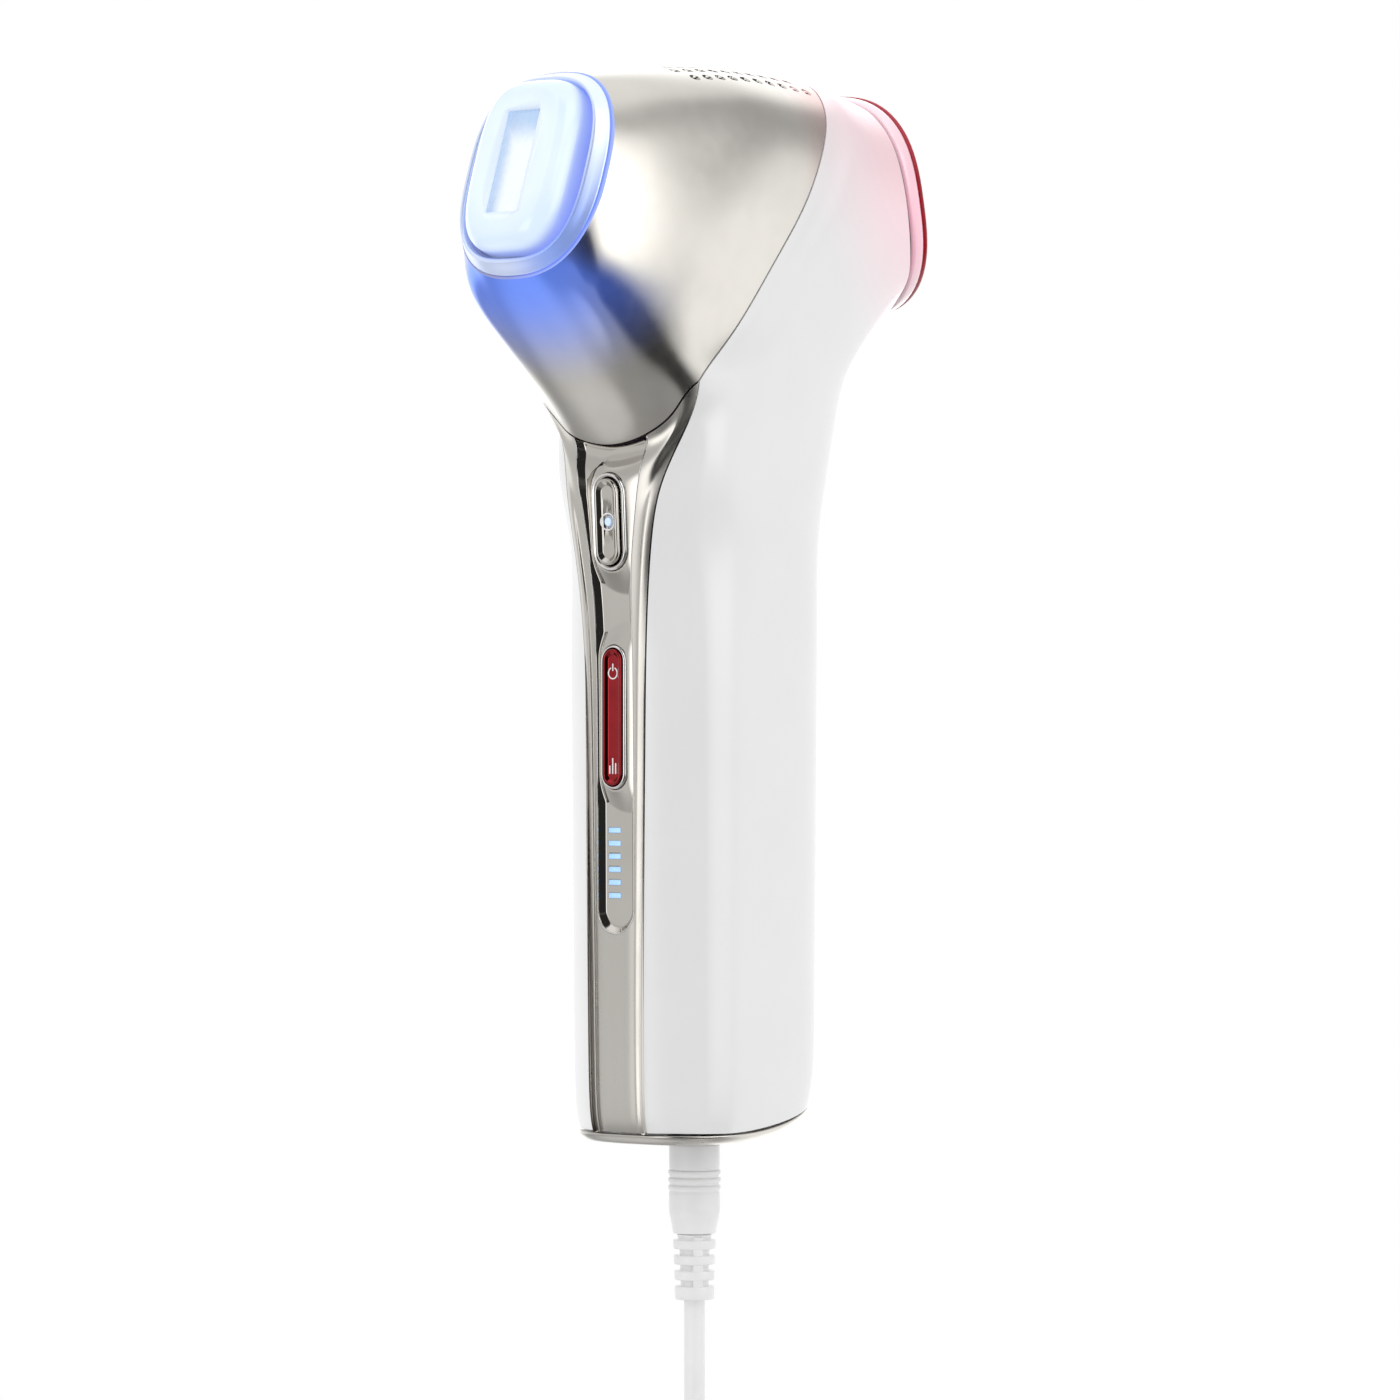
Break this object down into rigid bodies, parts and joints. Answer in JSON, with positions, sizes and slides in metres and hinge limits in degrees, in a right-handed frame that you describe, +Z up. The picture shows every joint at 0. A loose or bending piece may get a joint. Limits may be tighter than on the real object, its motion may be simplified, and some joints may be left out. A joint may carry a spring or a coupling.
{
  "type": "ipl hair remover",
  "caption": "Handheld light hair remover: lit flash window at the front of a metal head, red light head at the rear, white handle with buttons, lead and adapter.",
  "frame": {"origin": "middle of the hand grip, on the handle's axis", "axes": "+Z up the handle to the head, -Y the way the flash window faces, +X the device's left side as its user sees the window"},
  "size_m": [0.1075, 0.1134, 0.3139],
  "materials": {
    "champagne_metal": "satin champagne metal",
    "bright_metal": "polished",
    "white_gloss": "smooth white gloss",
    "polished_champagne": "polished champagne metal",
    "red_key": "deep red gloss",
    "ice_block": "clear, lit pale blue",
    "flash_filter": "clear, lit",
    "pale_blue_light": "lit pale blue",
    "reflector": "mirror",
    "lamp_glass": "clear tube",
    "ceramic": "matt off-white",
    "aluminium": "plain",
    "black_plastic": "matt black",
    "grey_rubber": "matt grey",
    "pink_cap": "white translucent, lit pink from inside",
    "red_lens": "deep red, lit",
    "red_led": "lit red",
    "green_board": "solder mask green",
    "capacitor_sleeve": "dark blue sleeve",
    "steel": "plain",
    "nickel": "nickel plated",
    "white_lead": "soft white"
  },
  "bodies": {
    "device": {"head_shell": "champagne_metal", "front_strip": "champagne_metal", "base_cap": "champagne_metal", "window_bezel": "bright_metal", "button_surround": "bright_metal", "rocker_surround": "bright_metal", "rear_housing": "white_gloss", "control_panel": "polished_champagne", "cooling_block": "ice_block", "flash_filter": "flash_filter", "level_light_1": "pale_blue_light", "level_light_2": "pale_blue_light", "level_light_3": "pale_blue_light", "level_light_4": "pale_blue_light", "level_light_5": "pale_blue_light", "level_light_6": "pale_blue_light", "lamp_reflector": "reflector", "flash_lamp": "lamp_glass", "lamp_holder_top": "ceramic", "lamp_holder_bottom": "ceramic", "trigger_coil": "ceramic", "heat_sink": "aluminium", "fan_housing": "black_plastic", "chassis": "black_plastic", "flash_switch": "black_plastic", "power_switch": "black_plastic", "dc_jack": "black_plastic", "rear_seal": "grey_rubber", "rear_cap": "pink_cap", "rear_lens": "red_lens", "rear_led_1": "red_led", "rear_led_2": "red_led", "rear_led_3": "red_led", "rear_led_4": "red_led", "rear_led_5": "red_led", "rear_led_board": "green_board", "main_board": "green_board", "storage_capacitor": "capacitor_sleeve", "chassis_screw_1": "steel", "chassis_screw_2": "steel", "chassis_screw_3": "steel", "chassis_screw_4": "steel"},
    "button": {"flash_button": "polished_champagne", "button_light": "pale_blue_light"},
    "rocker": {"power_rocker": "red_key"},
    "fan": {"fan_rotor": "black_plastic"},
    "lead": {"plug_barrel": "nickel", "plug_body": "white_lead", "strain_relief": "white_lead", "power_cord": "white_lead", "cord_coil": "white_lead", "coil_tie": "black_plastic", "adapter_relief": "white_lead", "adapter_body": "white_lead", "adapter_blade_left": "nickel", "adapter_blade_right": "nickel"}
  },
  "joints": [
    {"name": "button_press", "type": "slide", "parent": "device", "child": "button", "axis": [0, 0.9986, 0.0523], "range_m": [0, 0.0008], "stiffness_N_per_m": 800, "springref_m": -0.0005},
    {"name": "rocker_tilt", "type": "hinge", "parent": "device", "child": "rocker", "pos_m": [0, -0.02374, -0.0034], "axis": [1, 0, 0], "range_deg": [-2.5, 2.5], "stiffness_Nm_per_rad": 0.05},
    {"name": "fan_spin", "type": "hinge", "parent": "device", "child": "fan", "pos_m": [0, 0.004, 0.107], "axis": [0, 0, 1], "continuous": true},
    {"name": "plug_pull", "type": "slide", "parent": "device", "child": "lead", "axis": [0, 0, -1], "range_m": [0, 0.012]}
  ]
}
